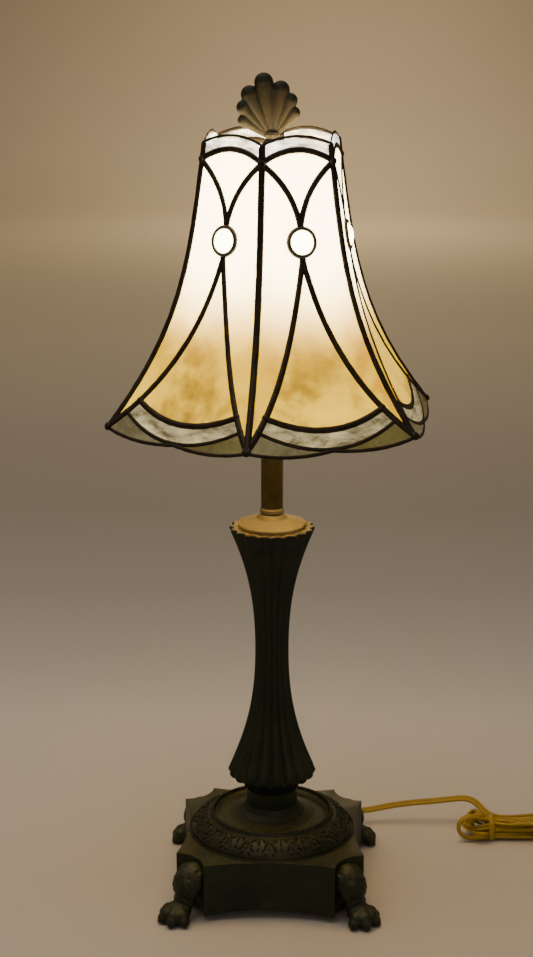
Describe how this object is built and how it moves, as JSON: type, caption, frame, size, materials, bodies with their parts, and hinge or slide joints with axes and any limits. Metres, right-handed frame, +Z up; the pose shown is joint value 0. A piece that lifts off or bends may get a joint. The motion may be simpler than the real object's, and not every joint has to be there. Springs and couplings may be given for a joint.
{
  "type": "table lamp",
  "caption": "Table lamp: a fluted column on a paw-footed square base carries a bell-shaped six-sided leaded glass shade on a harp, held by a shell finial.",
  "frame": {"origin": "on the table surface, on the lamp's vertical axis", "axes": "+Z up, -Y towards the front of the base"},
  "size_m": [0.4268, 0.263, 0.6349],
  "materials": {
    "bronze": "dark olive bronze patina, satin",
    "finial_bronze": "antique bronze patina, satin",
    "brass": "aged, satin",
    "steel": "zinc plated",
    "iron": "raw casting",
    "felt": "pressed felt",
    "fibre": "insulating fibre",
    "black_plastic": "moulded",
    "bulb_glass": "frosted",
    "leading": "black patina solder",
    "jewel_glass": "clear cast jewel",
    "clear_glass": "clear rippled",
    "cream_glass": "cream opalescent",
    "honey_glass": "honey opalescent, mottled",
    "grey_glass": "grey-white opalescent",
    "gold_cord": "translucent gold cord jacket",
    "tie_plastic": "twist tie"
  },
  "bodies": {
    "lamp": {"base_casting": "bronze", "ornament_ring": "bronze", "neck_collar": "bronze", "paw_foot_front_left": "bronze", "paw_foot_front_right": "bronze", "paw_foot_back_left": "bronze", "paw_foot_back_right": "bronze", "foot_screws": "steel", "ballast_weight": "iron", "rod_washer": "steel", "rod_nut": "steel", "bottom_cover": "felt", "threaded_rod": "brass", "fluted_column": "bronze", "column_cap_disc": "bronze", "check_ring": "brass", "neck_tube": "brass", "harp_saddle": "brass", "harp_wire_loop": "brass", "harp_seat_stud": "brass", "socket_cap": "brass", "socket_shell": "brass", "socket_liner": "fibre", "socket_block": "black_plastic", "socket_screw_shell": "brass", "socket_centre_contact": "brass", "cord_bushing": "black_plastic", "cord_inner": "gold_cord", "cord_lead": "gold_cord", "cord_hank": "gold_cord", "hank_tie": "tie_plastic", "plug_body": "gold_cord", "plug_blades": "brass"},
    "shade": {"shade_spider": "brass", "shade_ribs": "leading", "shade_leading": "leading", "jewel_bezels": "leading", "jewels": "jewel_glass", "glass_top_bands": "clear_glass", "glass_arches": "cream_glass", "glass_sides_left": "cream_glass", "glass_sides_right": "cream_glass", "glass_centres": "honey_glass", "glass_hem_strips": "clear_glass", "glass_corners_left": "grey_glass", "glass_corners_right": "grey_glass"},
    "finial": {"finial_foot": "finial_bronze", "finial_shell": "finial_bronze"},
    "bulb": {"bulb_base": "steel", "bulb_globe": "bulb_glass", "bulb_centre_contact": "brass"},
    "switch": {"switch_knob": "black_plastic"},
    "sleeve_left": {"harp_sleeve_left": "brass"},
    "sleeve_right": {"harp_sleeve_right": "brass"}
  },
  "joints": [
    {"name": "shade_turn", "type": "hinge", "parent": "lamp", "child": "shade", "pos_m": [0, 0, 0.5805], "axis": [0, 0, 1], "continuous": true},
    {"name": "finial_turn", "type": "hinge", "parent": "lamp", "child": "finial", "pos_m": [0, 0, 0.5825], "axis": [0, 0, 1], "continuous": true},
    {"name": "bulb_turn", "type": "hinge", "parent": "lamp", "child": "bulb", "pos_m": [0, 0, 0.4266], "axis": [0, 0, 1], "continuous": true},
    {"name": "switch_turn", "type": "hinge", "parent": "lamp", "child": "switch", "pos_m": [0, 0.02, 0.4156], "axis": [0, 1, 0], "continuous": true},
    {"name": "sleeve_left_lift", "type": "slide", "parent": "lamp", "child": "sleeve_left", "axis": [0, 0, 1], "range_m": [0, 0.012]},
    {"name": "sleeve_right_lift", "type": "slide", "parent": "lamp", "child": "sleeve_right", "axis": [0, 0, 1], "range_m": [0, 0.012]}
  ]
}
